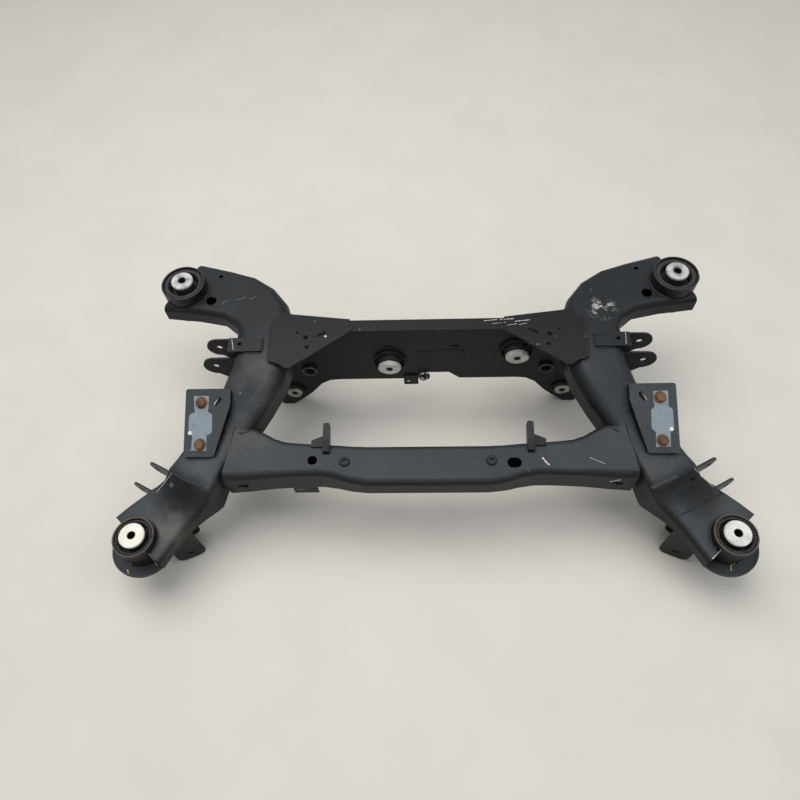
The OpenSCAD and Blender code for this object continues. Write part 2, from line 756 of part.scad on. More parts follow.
// Small tab under the front face of the front crossmember
module front_tab() {
    low = front_beam_top - front_beam_depth - fit_gap;
    color(coat) translate([-hook_x - 77, beam_y - front_beam_w / 2 + 8, low - sheet]) {
        cube([50, front_beam_w / 2, sheet]);
        translate([0, 0, -36]) cube([50, sheet, 37]);
    }
}

module front_mount(piece) {
    if (piece == "sleeve") mount_sleeve(front_sleeve_r, front_sleeve_top, front_sleeve_len);
    if (piece == "rubber") mount_rubber(front_sleeve_r, front_disc_r, front_sleeve_top, front_sleeve_len);
    if (piece == "core") mount_core(front_disc_r, front_sleeve_top, front_sleeve_len);
}

module rear_mount(piece) {
    if (piece == "sleeve") mount_sleeve(rear_sleeve_r, rear_sleeve_top, rear_sleeve_len);
    if (piece == "rubber") mount_rubber(rear_sleeve_r, rear_disc_r, rear_sleeve_top, rear_sleeve_len);
    if (piece == "core") mount_core(rear_disc_r, rear_sleeve_top, rear_sleeve_len);
}

module gear_mount(piece) {
    if (piece == "sleeve") gear_sleeve();
    if (piece == "rubber") gear_rubber();
    if (piece == "core") gear_core();
}

module lower_link(piece) {
    if (piece == "sleeve") lower_link_sleeve();
    if (piece == "rubber") lower_link_rubber();
    if (piece == "core") lower_link_core();
}

module shown(name) {
    translate([0, frame_shift, 0]) children();
}

module left() {
    mirror([1, 0, 0]) children();
}

shown("side_upper_right") side_upper();
shown("side_upper_left") left() side_upper();
shown("side_lower_right") side_lower();
shown("side_lower_left") left() side_lower();
shown("front_crossmember_upper") front_crossmember_upper();
shown("front_crossmember_lower") front_crossmember_lower();
shown("rear_crossmember_front") rear_crossmember_front();
shown("rear_crossmember_back") rear_crossmember_back();
shown("gusset_right") gusset_plate();
shown("gusset_left") left() gusset_plate();
for (piece = ["sleeve", "rubber", "core"]) {
    shown(str("front_mount_", piece, "_right")) front_mount_at() front_mount(piece);
    shown(str("front_mount_", piece, "_left")) left() front_mount_at() front_mount(piece);
    shown(str("rear_mount_", piece, "_right")) rear_mount_at() rear_mount(piece);
    shown(str("rear_mount_", piece, "_left")) left() rear_mount_at() rear_mount(piece);
    shown(str("gear_mount_", piece, "_right")) along_y(right_gear_x, gear_front, right_gear_z) gear_mount(piece);
    shown(str("gear_mount_", piece, "_left")) along_y(-left_gear_x, gear_front, left_gear_z) gear_mount(piece);
    shown(str("lower_link_", piece, "_right")) along_y(lower_link_x, link_front, lower_link_z) lower_link(piece);
    shown(str("lower_link_", piece, "_left")) along_y(-lower_link_x, link_front, lower_link_z) lower_link(piece);
}
shown("ring_sleeve_right") along_y(ring_x, rear_beam_y - 7, ring_z) ring_sleeve();
shown("ring_sleeve_left") along_y(-ring_x, rear_beam_y - 7, ring_z) ring_sleeve();
shown("upper_arm_bracket_right") upper_arm_bracket();
shown("upper_arm_bracket_left") left() upper_arm_bracket();
shown("bar_seat_right") bar_seat();
shown("bar_seat_left") left() bar_seat();
shown("seat_bolts") seat_bolts();
shown("front_link_bracket_right") front_link_bracket();
shown("front_link_bracket_left") left() front_link_bracket();
shown("lower_bracket_right") lower_bracket();
shown("lower_bracket_left") left() lower_bracket();
shown("hook_right") hook();
shown("hook_left") left() hook();
shown("deck_nuts") deck_nuts();
shown("line_clip") line_clip();
shown("front_tab") front_tab();
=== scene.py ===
"""Dressed model of an axle subframe: finishes, welds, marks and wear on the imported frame."""

import json
import math

import bmesh
import bpy
from mathutils import Matrix, Vector
from mathutils.bvhtree import BVHTree


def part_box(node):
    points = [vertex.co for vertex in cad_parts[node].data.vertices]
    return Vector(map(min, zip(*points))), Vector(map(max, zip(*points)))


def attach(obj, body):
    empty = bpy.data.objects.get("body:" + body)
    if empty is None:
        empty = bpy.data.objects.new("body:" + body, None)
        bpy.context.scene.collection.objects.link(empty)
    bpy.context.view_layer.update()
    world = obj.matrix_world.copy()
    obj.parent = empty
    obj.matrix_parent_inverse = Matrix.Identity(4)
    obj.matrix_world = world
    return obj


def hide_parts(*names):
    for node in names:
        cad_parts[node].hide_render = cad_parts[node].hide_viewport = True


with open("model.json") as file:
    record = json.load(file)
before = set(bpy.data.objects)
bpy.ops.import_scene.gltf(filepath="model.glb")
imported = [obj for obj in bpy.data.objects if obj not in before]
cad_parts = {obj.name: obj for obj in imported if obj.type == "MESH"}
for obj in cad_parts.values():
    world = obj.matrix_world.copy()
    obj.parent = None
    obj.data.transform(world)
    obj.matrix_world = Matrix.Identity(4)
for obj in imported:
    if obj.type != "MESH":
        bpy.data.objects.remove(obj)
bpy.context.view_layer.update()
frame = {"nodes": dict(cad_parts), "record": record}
nodes = frame["nodes"]
scene = bpy.context.scene
scene.view_settings.view_transform = "Standard"

MM = 0.001
mounts = {m["name"]: Vector(m["pos_m"]) for m in frame["record"]["mounts"]}
slots = {p["node"]: p["material_slot"] for p in frame["record"]["subparts"]}

# Middle between the front and rear mounts, from the frame's origin along Y
MID_Y = (mounts["front_body_mount_left"].y + mounts["rear_body_mount_left"].y) / 2
SIDES = (("left", -1), ("right", 1))


# Camera: where the photograph was taken from, as a point, a pitch, a roll and a yaw

CAMERA_AT = Vector((0.00173, -0.6684 + MID_Y, 1.37207))
PITCH, ROLL, YAW = math.radians(59.31), math.radians(-4.78), math.radians(4.74)
FOCAL_PX, IMAGE_PX, SENSOR_MM = 670, 800, 36


def camera_axes():
    """Right, up and forward directions of the camera."""
    forward = Vector((-math.sin(YAW) * math.cos(PITCH), math.cos(YAW) * math.cos(PITCH), -math.sin(PITCH)))
    level = Vector((math.cos(YAW), math.sin(YAW), 0))
    lift = level.cross(forward)
    right = math.cos(ROLL) * level + math.sin(ROLL) * lift
    up = -math.sin(ROLL) * level + math.cos(ROLL) * lift
    return right, up, forward


RIGHT, UP, FORWARD = camera_axes()


def add_camera():
    """The camera that took the photograph."""
    data = bpy.data.cameras.new("camera")
    data.sensor_width = SENSOR_MM
    data.lens = FOCAL_PX / IMAGE_PX * SENSOR_MM
    data.clip_end = 50
    camera = bpy.data.objects.new("camera", data)
    scene.collection.objects.link(camera)
    turn = Matrix((RIGHT, UP, -FORWARD)).transposed().to_4x4()
    camera.matrix_world = Matrix.Translation(CAMERA_AT) @ turn
    scene.camera = camera


# Node helpers for materials

# Places along Y between which the pale film on what faces up gets paler towards the front
REAR_Y, FRONT_Y = 0.16, -0.06
# Directions that a bore's radius is measured in: an upright bore, and one that runs front to rear
UPRIGHT, LENGTHWISE = (1.0, 1.0, 0.0), (1.0, 0.0, 1.0)


class Shader:
    """Small helper that builds a node tree from left to right."""

    def __init__(self, name):
        self.material = bpy.data.materials.new(name)
        self.material.use_nodes = True
        self.tree = self.material.node_tree
        self.bsdf = self.tree.nodes["Principled BSDF"]
        self.place = self.node("ShaderNodeTexCoord").outputs["Object"]

    def node(self, kind, **settings):
        """A new node with some settings."""
        n = self.tree.nodes.new(kind)
        for key, value in settings.items():
            setattr(n, key, value)
        return n

    def link(self, out, socket):
        """Join an output to an input."""
        self.tree.links.new(out, socket)

    def put(self, socket, value):
        """Give an input a number, a colour or another node's output."""
        if isinstance(value, bpy.types.NodeSocket):
            self.link(value, socket)
        else:
            socket.default_value = value

    def noise(self, scale, detail=4.0, roughness=0.55, stretch=None):
        """Cloudy noise over the part, from 0 to 1."""
        place = self.place
        if stretch:
            mapping = self.node("ShaderNodeMapping")
            self.link(place, mapping.inputs["Vector"])
            mapping.inputs["Scale"].default_value = stretch
            place = mapping.outputs["Vector"]
        n = self.node("ShaderNodeTexNoise")
        n.inputs["Scale"].default_value = scale
        n.inputs["Detail"].default_value = detail
        n.inputs["Roughness"].default_value = roughness
        self.link(place, n.inputs["Vector"])
        return n.outputs["Fac"]

    def ramp(self, value, low, high):
        """0 at the low value, rising smoothly to 1 at the high one."""
        n = self.node("ShaderNodeMapRange", interpolation_type="SMOOTHSTEP")
        self.link(value, n.inputs["Value"])
        n.inputs["From Min"].default_value = low
        n.inputs["From Max"].default_value = high
        return n.outputs["Result"]

    def maths(self, operation, a, b=0.0):
        """One sum on two numbers or outputs."""
        n = self.node("ShaderNodeMath", operation=operation)
        self.put(n.inputs[0], a)
        self.put(n.inputs[1], b)
        return n.outputs[0]

    def times(self, a, b):
        """Product of two numbers or outputs."""
        return self.maths("MULTIPLY", a, b)

    def mix(self, factor, a, b):
        """Colour between a and b."""
        n = self.node("ShaderNodeMix", data_type="RGBA")
        self.put(n.inputs[0], factor)
        self.put(n.inputs[6], a)
        self.put(n.inputs[7], b)
        return n.outputs[2]

    def upward(self):
        """How far the surface faces up, from 0 to 1."""
        geometry = self.node("ShaderNodeNewGeometry")
        split = self.node("ShaderNodeSeparateXYZ")
        self.link(geometry.outputs["Normal"], split.inputs[0])
        return self.maths("MAXIMUM", split.outputs["Z"], 0.0)

    def near(self, centre, radius):
        """1 at a place on the part, fading to 0 at the radius."""
        n = self.node("ShaderNodeVectorMath", operation="DISTANCE")
        self.link(self.place, n.inputs[0])
        n.inputs[1].default_value = centre
        return self.ramp(n.outputs["Value"], radius, radius * 0.2)

    def beside(self, centre, inner, outer, along=UPRIGHT):
        """1 within the inner radius of an axis through a place, 0 beyond the outer radius."""
        flat = self.node("ShaderNodeVectorMath", operation="MULTIPLY")
        self.link(self.place, flat.inputs[0])
        flat.inputs[1].default_value = along
        n = self.node("ShaderNodeVectorMath", operation="DISTANCE")
        self.link(flat.outputs[0], n.inputs[0])
        n.inputs[1].default_value = [a * b for a, b in zip(centre, along)]
        return self.ramp(n.outputs["Value"], outer, inner)

    def ahead(self):
        """0 at the rear of the part, rising to 1 towards its front."""
        split = self.node("ShaderNodeSeparateXYZ")
        self.link(self.place, split.inputs[0])
        return self.ramp(split.outputs["Y"], REAR_Y, FRONT_Y)

    def edges(self, reach):
        """1 on worn outer edges."""
        bevel = self.node("ShaderNodeBevel", samples=4)
        bevel.inputs["Radius"].default_value = reach
        geometry = self.node("ShaderNodeNewGeometry")
        dot = self.node("ShaderNodeVectorMath", operation="DOT_PRODUCT")
        self.link(bevel.outputs["Normal"], dot.inputs[0])
        self.link(geometry.outputs["Normal"], dot.inputs[1])
        return self.ramp(dot.outputs["Value"], 0.97, 0.75)

    def bump(self, height, strength, distance):
        """Fine relief on the finished surface."""
        n = self.node("ShaderNodeBump")
        n.inputs["Strength"].default_value = strength
        n.inputs["Distance"].default_value = distance
        self.link(height, n.inputs["Height"])
        self.link(n.outputs["Normal"], self.bsdf.inputs["Normal"])


def rgb(r, g, b):
    """Linear colour from 0 to 255 screen values."""
    def linear(c):
        c /= 255
        return c / 12.92 if c <= 0.04045 else ((c + 0.055) / 1.055) ** 2.4
    return (linear(r), linear(g), linear(b), 1.0)


COAT = rgb(15, 16, 18)
SHEEN = rgb(26, 28, 31)
# Colour of the pale film on what faces up: dust, and a painted sheen on the tops
DUST_AND_SHEEN = rgb(98, 108, 116)
MUD = rgb(112, 107, 101)
RUST = rgb(92, 66, 48)
BARE = rgb(190, 190, 186)
WORN_EDGE = rgb(128, 126, 120)
BORE_DARK = rgb(14, 14, 15)
BORE_WIPED = rgb(52, 54, 56)
GREY_SPECK = rgb(90, 88, 84)


def coat_material(name, colour=COAT, dust_and_sheen=0.25, stains=(), scuffs=(), rust=0.0, painted_shade_patches=()):
    """Satin dip coat: a pale film on what faces up that is partly dust and partly painted sheen, with stains,
    scuffs, rust specks and patches painted darker as shade.
    """
    s = Shader(name)
    cloud = s.noise(7, 6, 0.6)
    grain = s.noise(140, 3, 0.6)
    streak = s.noise(30, 5, 0.6, (1.0, 2.5, 1.0))
    # The pale film on what faces up is partly dust and partly a painted sheen that lightens the tops
    film = s.maths("ADD", s.times(s.ramp(cloud, 0.30, 0.70), 0.35), 0.65)
    film = s.times(film, s.maths("ADD", s.times(s.ahead(), 0.75), 0.25))
    dust_sheen_mask = s.times(s.times(film, s.maths("POWER", s.upward(), 3.0)), dust_and_sheen)
    dust_sheen_mask = s.times(dust_sheen_mask, s.maths("ADD", s.times(s.ramp(grain, 0.15, 0.75), 0.35), 0.65))
    # The pockets lose the pale film: painted shade on slopes that face away from the light
    for centre, radius in painted_shade_patches:
        dust_sheen_mask = s.times(dust_sheen_mask, s.maths("SUBTRACT", 1.0, s.near(centre, radius)))
    base = s.mix(s.times(s.ramp(streak, 0.40, 0.75), 0.30), colour, SHEEN)
    base = s.mix(dust_sheen_mask, base, DUST_AND_SHEEN)
    for centre, radius, amount in stains:
        stain = s.times(s.times(s.near(centre, radius), s.ramp(s.noise(16, 6, 0.6), 0.28, 0.74)), amount)
        base = s.mix(stain, base, MUD)
    if rust:
        spots = s.times(s.ramp(s.noise(70, 7, 0.66), 0.52, 0.66), rust)
        base = s.mix(spots, base, RUST)
    for centre, radius, scale in scuffs:
        lines = s.ramp(s.noise(scale, 7, 0.72), 0.52, 0.56)
        base = s.mix(s.times(s.times(s.near(centre, radius), lines), 0.85), base, BARE)
    chips = s.times(s.ramp(s.noise(210, 2, 0.5), 0.745, 0.77), s.ramp(s.noise(14, 2, 0.5), 0.50, 0.60))
    base = s.mix(s.times(chips, 0.8), base, BARE)
    worn = s.times(s.edges(0.002), s.ramp(s.noise(55, 5, 0.65), 0.48, 0.66))
    base = s.mix(s.times(worn, 0.30), base, WORN_EDGE)
    s.link(base, s.bsdf.inputs["Base Color"])
    rough = s.maths("ADD", s.times(dust_sheen_mask, 0.4), s.maths("ADD", s.times(grain, 0.12), 0.34))
    s.link(rough, s.bsdf.inputs["Roughness"])
    s.bsdf.inputs["Specular IOR Level"].default_value = 0.20
    s.bump(s.maths("ADD", grain, s.times(streak, 1.2)), 0.22, 0.0006)
    return s.material


def rubber_material(name, colour=rgb(20, 20, 21), bloom=rgb(62, 58, 53)):
    """Dull rubber with a paler bloom in patches."""
    s = Shader(name)
    cloud = s.noise(45, 5, 0.6)
    fine = s.noise(420, 3, 0.6)
    base = s.mix(s.times(s.ramp(cloud, 0.42, 0.75), 0.35), colour, bloom)
    s.link(base, s.bsdf.inputs["Base Color"])
    s.bsdf.inputs["Roughness"].default_value = 0.72
    s.bump(s.maths("ADD", fine, cloud), 0.3, 0.0005)
    return s.material


def metal_material(name, colour, stain, amount, roughness, metallic=0.35, bores=(), smudge_and_highlight=0.0,
                   deep=BORE_DARK):
    """Dull cast or plated metal with stains, dark in its bores and smeared round them."""
    s = Shader(name)
    cloud = s.noise(60, 6, 0.62)
    fine = s.noise(500, 3, 0.6)
    base = s.mix(s.times(s.ramp(cloud, 0.44, 0.66), amount), colour, stain)
    base = s.mix(s.times(s.ramp(fine, 0.55, 0.72), 0.25), base, GREY_SPECK)
    for centre, radius, along in bores:
        if smudge_and_highlight:
            wiped = s.times(s.beside(centre, radius, radius * 2.2, along), s.ramp(cloud, 0.30, 0.60))
            base = s.mix(s.times(wiped, smudge_and_highlight), base, BORE_WIPED)
        base = s.mix(s.beside(centre, radius * 1.02, radius * 1.12, along), base, deep)
    s.link(base, s.bsdf.inputs["Base Color"])
    s.bsdf.inputs["Metallic"].default_value = metallic
    s.link(s.maths("ADD", s.times(cloud, 0.3), roughness), s.bsdf.inputs["Roughness"])
    s.bump(s.maths("ADD", fine, cloud), 0.25, 0.0004)
    return s.material


def paint_material(name, colour, breaks=0.5, under=rgb(70, 73, 77), bore=None):
    """Thin hand-applied paint or bare scuff."""
    s = Shader(name)
    patch = s.ramp(s.noise(120, 5, 0.65), breaks - 0.12, breaks + 0.1)
    base = s.mix(s.times(patch, 0.55), colour, under)
    base = s.mix(s.times(s.ramp(s.noise(24, 5, 0.6), 0.45, 0.75), 0.25), base, under)
    if bore:
        centre, radius = bore
        base = s.mix(s.beside(centre, radius * 1.02, radius * 1.12), base, BORE_DARK)
    s.link(base, s.bsdf.inputs["Base Color"])
    s.bsdf.inputs["Roughness"].default_value = 0.6
    s.bump(s.noise(400, 3, 0.6), 0.2, 0.0003)
    return s.material


# Stage


FLOOR_HALF, FLOOR_DROP = 14.0, 0.0015


def add_stage():
    """A plain pale floor just under the part."""
    floor_mesh = bpy.data.meshes.new("floor")
    corners = [(x * FLOOR_HALF, y * FLOOR_HALF, 0) for x, y in ((-1, -1), (1, -1), (1, 1), (-1, 1))]
    floor_mesh.from_pydata(corners, [], [(0, 1, 2, 3)])
    floor = bpy.data.objects.new("floor", floor_mesh)
    floor.location.z = -FLOOR_DROP
    scene.collection.objects.link(floor)
    s = Shader("floor_pale")
    base = s.mix(s.ramp(s.noise(5, 6, 0.6), 0.35, 0.7), rgb(226, 222, 214), rgb(222, 218, 211))
    s.link(base, s.bsdf.inputs["Base Color"])
    s.bsdf.inputs["Roughness"].default_value = 0.85
    floor_mesh.materials.append(s.material)


def add_lamp(name, at, target, power, colour):
    """A round lamp that points at a target."""
    data = bpy.data.lights.new(name, "AREA")
    data.shape = "DISK"
    data.size = LAMP_SIZE
    data.energy = power
    data.color = colour
    lamp = bpy.data.objects.new(name, data)
    scene.collection.objects.link(lamp)
    lamp.location = at
    lamp.rotation_euler = (Vector(target) - Vector(at)).to_track_quat("-Z", "Y").to_euler()


AMBIENT, BACKDROP = 0.22, 0.75
LAMP_SIZE = 3.0
WARM, COOL = (1.0, 0.98, 0.95), (0.96, 0.98, 1.0)
# Name, place, target, power in watts and colour of each lamp
LAMPS = (
    ("key", (-0.8, 0.6, 3.4), (0, 0, 0), 82, WARM),
    ("fill", (1.6, -0.2, 3.4), (0, 0, 0), 34, COOL),
    ("front", (0.0, -2.6, 2.6), (0, -0.1, 0), 14, WARM),
)


def add_light():
    """Soft lamps above the part and a world that is dim as a lamp but pale where it is seen or mirrored."""
    world = bpy.data.worlds.new("world")
    world.use_nodes = True
    background = world.node_tree.nodes["Background"]
    background.inputs["Color"].default_value = (0.95, 0.98, 1.0, 1)
    nodes_in, links = world.node_tree.nodes, world.node_tree.links
    path = nodes_in.new("ShaderNodeLightPath")
    pale = path.outputs["Is Camera Ray"]
    for ray in ("Is Glossy Ray", "Is Transmission Ray"):
        either = nodes_in.new("ShaderNodeMath")
        either.operation = "MAXIMUM"
        links.new(pale, either.inputs[0])
        links.new(path.outputs[ray], either.inputs[1])
        pale = either.outputs[0]
    strength = nodes_in.new("ShaderNodeMath")
    strength.operation = "MULTIPLY_ADD"
    links.new(pale, strength.inputs[0])
    strength.inputs[1].default_value = BACKDROP - AMBIENT
    strength.inputs[2].default_value = AMBIENT
    links.new(strength.outputs[0], background.inputs["Strength"])
    scene.world = world
    for lamp in LAMPS:
        add_lamp(*lamp)


# Surfaces of the frame


def add_piece(name, bm, material, smooth=False):
    """A new piece of the object from a finished bmesh, riding on the object's one body."""
    mesh = bpy.data.meshes.new(name)
    bm.to_mesh(mesh)
    bm.free()
    if smooth:
        mesh.shade_smooth()
    piece = bpy.data.objects.new(name, mesh)
    scene.collection.objects.link(piece)
    mesh.materials.append(material)
    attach(piece, "root")
    return piece


def skin(bm, rings, closed=False):
    """Walls between neighbouring rings of points, with both ends capped unless the rings close up."""
    sides = len(rings[0])
    for a, b in zip(rings, rings[1:] + rings[:1] if closed else rings[1:]):
        for k in range(sides):
            bm.faces.new((a[k], a[(k + 1) % sides], b[(k + 1) % sides], b[k]))
    if not closed:
        bm.faces.new(list(reversed(rings[0])))
        bm.faces.new(rings[-1])


# Angles in degrees from which a fold stays crisp: on most nodes and on the shallow lower pressings
CRISP, CRISP_LOWER = 25, 50
WELD_DIST, FLAT_DEG = 0.00001, 0.3


def dressed(node, material):
    """A copy of a frame node with its faces joined, so that curves shade as curves and folds stay crisp."""
    bm = bmesh.new()
    bm.from_mesh(nodes[node].data)
    bmesh.ops.remove_doubles(bm, verts=bm.verts, dist=WELD_DIST)
    bmesh.ops.dissolve_limit(bm, angle_limit=math.radians(FLAT_DEG), verts=bm.verts, edges=bm.edges)
    piece = add_piece(node + "_dressed", bm, material, smooth=True)
    shallow = "lower" in node and "bracket" not in node
    piece.data.set_sharp_from_angle(angle=math.radians(CRISP_LOWER if shallow else CRISP))
    weigh = piece.modifiers.new("weigh", "WEIGHTED_NORMAL")
    weigh.keep_sharp = True
    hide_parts(node)
    return piece


BEVELLED = ("gusset", "hook", "bar_seat", "seat_bolts", "line_clip", "front_tab", "deck_nuts", "ring_sleeve",
            "lower_bracket", "front_link", "upper_arm", "core", "sleeve")
# Width and segments of the rounding on small pieces and on the hooks
SMALL_ROUND, HOOK_ROUND = (0.0008, 2), (0.0036, 4)
BEVEL_FROM = 50


def round_edges(piece, width, segments):
    """Round the sharp edges of a piece, before its normals are weighed."""
    bevel = piece.modifiers.new("bevel", "BEVEL")
    bevel.width = width
    bevel.segments = segments
    bevel.limit_method = "ANGLE"
    bevel.angle_limit = math.radians(BEVEL_FROM)
    bevel.use_clamp_overlap = True
    bevel.harden_normals = False
    piece.modifiers.move(len(piece.modifiers) - 1, 0)


def bore_places(word, radius, along=UPRIGHT):
    """Centre, radius and direction of each bore mount whose name holds a word."""
    return [(tuple(at), radius, along) for name, at in mounts.items() if word in name]


# Pixels of the photograph where the side members are stained, with a radius in metres and an amount
STAINS = (((262, 385), 0.110, 0.42), ((163, 528), 0.075, 0.70), ((207, 470), 0.070, 0.45),
          ((232, 440), 0.070, 0.35), ((640, 480), 0.080, 0.25), ((720, 505), 0.070, 0.15))
# Pixels where they are scuffed, and where the pockets are painted darker as shade, without the pale film
SCUFF_PX, SCUFF_R, SCUFF_GRAIN = (602, 308), 0.036, 46
POCKETS, POCKET_R = ((178, 500), (702, 495)), 0.062
# Stain on the left of the front crossmember: place, radius and amount
BEAM_STAIN = ((-0.355, -0.090, 0.225), 0.090, 0.25)
# Bore radii of the cores
MOUNT_BORE_R, GEAR_BORE_R, LINK_BORE_R = 0.0075, 0.007, 0.0065


def spot(u, v):
    """Place on the part that a pixel shows, as plain numbers."""
    return tuple(seen(u, v)[0])


def make_looks():
    """Every finish of the frame's nodes, by name."""
    front = {side: tuple(mounts["front_body_mount_" + side]) for side, _ in SIDES}
    return {
        "coat": coat_material("dip_coat", dust_and_sheen=0.26),
        "sleeve": coat_material("sleeve_coat", rgb(26, 25, 25), dust_and_sheen=0.20, rust=0.22),
        "rubber": rubber_material("bush_rubber"),
        "alloy": metal_material("cast_alloy", rgb(196, 198, 196), rgb(128, 128, 124), 0.7, 0.34, 0.2,
                                bore_places("rear_body", MOUNT_BORE_R), 0.75, rgb(40, 42, 43)),
        "washer": metal_material("plated_steel", rgb(176, 174, 166), rgb(120, 108, 94), 0.7, 0.36, 0.2,
                                 bore_places("lower_link", LINK_BORE_R, LENGTHWISE), deep=rgb(66, 63, 59)),
        "rusty_bolt": metal_material("rusty_steel", rgb(112, 80, 54), rgb(62, 45, 34), 0.8, 0.6, 0.1),
        "side": coat_material("side_coat", dust_and_sheen=0.46, stains=[(spot(*px), r, k) for px, r, k in STAINS],
                              scuffs=[(spot(*SCUFF_PX), SCUFF_R, SCUFF_GRAIN)],
                              painted_shade_patches=[(spot(*px), POCKET_R) for px in POCKETS]),
        "plate": coat_material("plate_coat", dust_and_sheen=0.10),
        "beam": coat_material("beam_coat", dust_and_sheen=0.38, stains=(BEAM_STAIN,)),
        "seat": coat_material("seat_coat", rgb(22, 23, 25), dust_and_sheen=0.50),
        # A darker copy of the coat, painted as shade on the lower brackets and the hooks
        "shade": coat_material("shaded_coat", rgb(9, 9, 10), dust_and_sheen=0.10),
        "gear_sleeve": coat_material("gear_sleeve_coat", rgb(20, 20, 22), dust_and_sheen=0.25, rust=0.1),
        "gear_core": metal_material("gear_alloy", rgb(206, 205, 200), rgb(150, 148, 142), 0.6, 0.34, 0.2,
                                    bore_places("gear_mount", GEAR_BORE_R, LENGTHWISE), deep=rgb(92, 92, 90)),
        "white_disc": paint_material("white_disc_paint", rgb(246, 242, 230), 0.78, rgb(170, 164, 150),
                                     (front["left"], MOUNT_BORE_R)),
        "grey_disc": metal_material("speckled_disc", rgb(226, 226, 222), rgb(176, 176, 172), 0.6, 0.45, 0.1,
                                    [(front["right"], MOUNT_BORE_R, UPRIGHT)]),
    }


# Nodes with a look of their own, by the start of their names. The others take their slot's
LOOK_OF = {
    "side_upper": "side", "front_crossmember_upper": "beam",
    "gusset": "plate", "rear_crossmember_front": "plate",
    "front_mount_core_left": "white_disc", "front_mount_core_right": "grey_disc", "lower_bracket": "shade",
    "bar_seat": "seat", "hook": "shade", "gear_mount_core": "gear_core", "gear_mount_sleeve": "gear_sleeve",
}


def finish_nodes(looks):
    """Dress every node of the frame in its finish."""
    for name in list(nodes):
        own = [look for start, look in LOOK_OF.items() if name.startswith(start)]
        piece = dressed(name, looks[own[0] if own else slots[name]])
        if any(word in name for word in BEVELLED):
            round_edges(piece, *(HOOK_ROUND if name.startswith("hook") else SMALL_ROUND))


# Places on the dressed part


def surface_tree(names):
    """A search tree over some of the frame's nodes."""
    points, faces = [], []
    for name in names:
        mesh = nodes[name].data
        start = len(points)
        points += [v.co.copy() for v in mesh.vertices]
        faces += [tuple(start + i for i in p.vertices) for p in mesh.polygons]
    return BVHTree.FromPolygons(points, faces)


SHEETS = surface_tree([n for n in nodes if "rubber" not in n and "core" not in n])
# A height above the whole part, the way down, and the step at which a path has left its sheet
ABOVE, DOWN, JUMP = 0.6, Vector((0, 0, -1)), 0.012


def pixel_ray(u, v):
    """Direction from the camera through a pixel of the photograph."""
    ray = FORWARD + RIGHT * ((u - IMAGE_PX / 2) / FOCAL_PX) - UP * ((v - IMAGE_PX / 2) / FOCAL_PX)
    return ray.normalized()


def seen(u, v):
    """Point and normal of the part where a pixel of the photograph shows it."""
    point, normal, _, _ = SHEETS.ray_cast(CAMERA_AT, pixel_ray(u, v))
    return point, normal


def dropped(x, y):
    """Highest point of the part above a place on the floor."""
    return SHEETS.ray_cast(Vector((x, y, ABOVE)), DOWN)[0]


# Welds and other beads

# Length of a bead's steps, its sides, its half width and half height as shares of its radius, and the
# least step of a run
BEAD_STEP, BEAD_SIDES, BEAD_WIDE, BEAD_HIGH, LEAST_STEP = 0.0016, 7, 1.25, 0.8, 0.0002
WELD_R, SEAM_R, BEND_R, RECESS_R = 0.0024, 0.0020, 0.0021, 0.0016


def full_turn(n):
    """Angles of a full turn in equal steps."""
    return [2 * math.pi * k / n for k in range(n)]


def bead(name, path, material, radius=WELD_R, closed=False, rippled=True):
    """A bead along points that lie on the part, rippled like a weld or smooth like a moulded rib."""
    steps = []
    for a, b in zip(path, path[1:] + path[:1] if closed else path[1:]):
        n = max(1, int((b - a).length / BEAD_STEP))
        steps += [a.lerp(b, k / n) for k in range(n)]
    if not closed:
        steps.append(path[-1])
    bm = bmesh.new()
    rings = []
    turns = full_turn(BEAD_SIDES)
    for i, p in enumerate(steps):
        before = steps[i - 1] if i or closed else p
        after = steps[(i + 1) % len(steps)] if i + 1 < len(steps) or closed else p
        along = (after - before).normalized()
        across = along.cross(Vector((0, 0, 1)))
        across = across.normalized() if across.length > 0.01 else Vector((1, 0, 0))
        lift = across.cross(along)
        ripple = 0.86 + 0.14 * math.cos(i * 1.9) + 0.08 * math.sin(i * 0.37) if rippled else 1.0
        if not closed:
            ripple *= min(1.0, 0.35 + 0.3 * min(i, len(steps) - 1 - i))
        size = radius * ripple
        rings.append([bm.verts.new(p + across * (math.cos(t) * BEAD_WIDE * size)
                                   + lift * (math.sin(t) * BEAD_HIGH * size)) for t in turns])
    skin(bm, rings, closed)
    return add_piece(name, bm, material, smooth=True)


def on_part(pairs):
    """Points of a plan path in millimetres, laid on top of the part, split where the sheet drops away."""
    runs, run = [], []
    for x, y in pairs:
        point = dropped(x * MM, y * MM + MID_Y)
        if point is None or (run and abs(point.z - run[-1].z) > JUMP):
            if len(run) > 1:
                runs.append(run)
            run = []
            if point is None:
                continue
        run.append(point)
    if len(run) > 1:
        runs.append(run)
    return runs


def line(a, b, n=14):
    """Points of a straight path in equal steps."""
    return [(a[0] + (b[0] - a[0]) * k / n, a[1] + (b[1] - a[1]) * k / n) for k in range(n + 1)]


def circle(x, y, r, start=0, end=360, n=60):
    """Points of a round path between two angles in degrees."""
    return [(x + r * math.cos(math.radians(t)), y + r * math.sin(math.radians(t)))
            for t in (start + (end - start) * k / n for k in range(n + 1))]


# Corners of the right side's weld beads in plan, in millimetres from the middle between the mounts
WELDS = {
    "beam_end": ((375.5, -50), (393.5, -140)),
    "gusset_outer": ((281, 48), (297, 59.5), (314, 65)),
    "gusset_side": ((314.5, 67), (317, 158)),
    "gusset_back": ((316, 160), (294, 188), (276, 184)),
    "gusset_inner": ((152, 137), (154, 165)),
    "arm_bracket": ((329, 89.5), (329, 124)),
    "arm_bracket_front": ((331, 89), (372, 89)),
    "seat_foot": ((384, -20), (396, -60), (410, -108)),
}
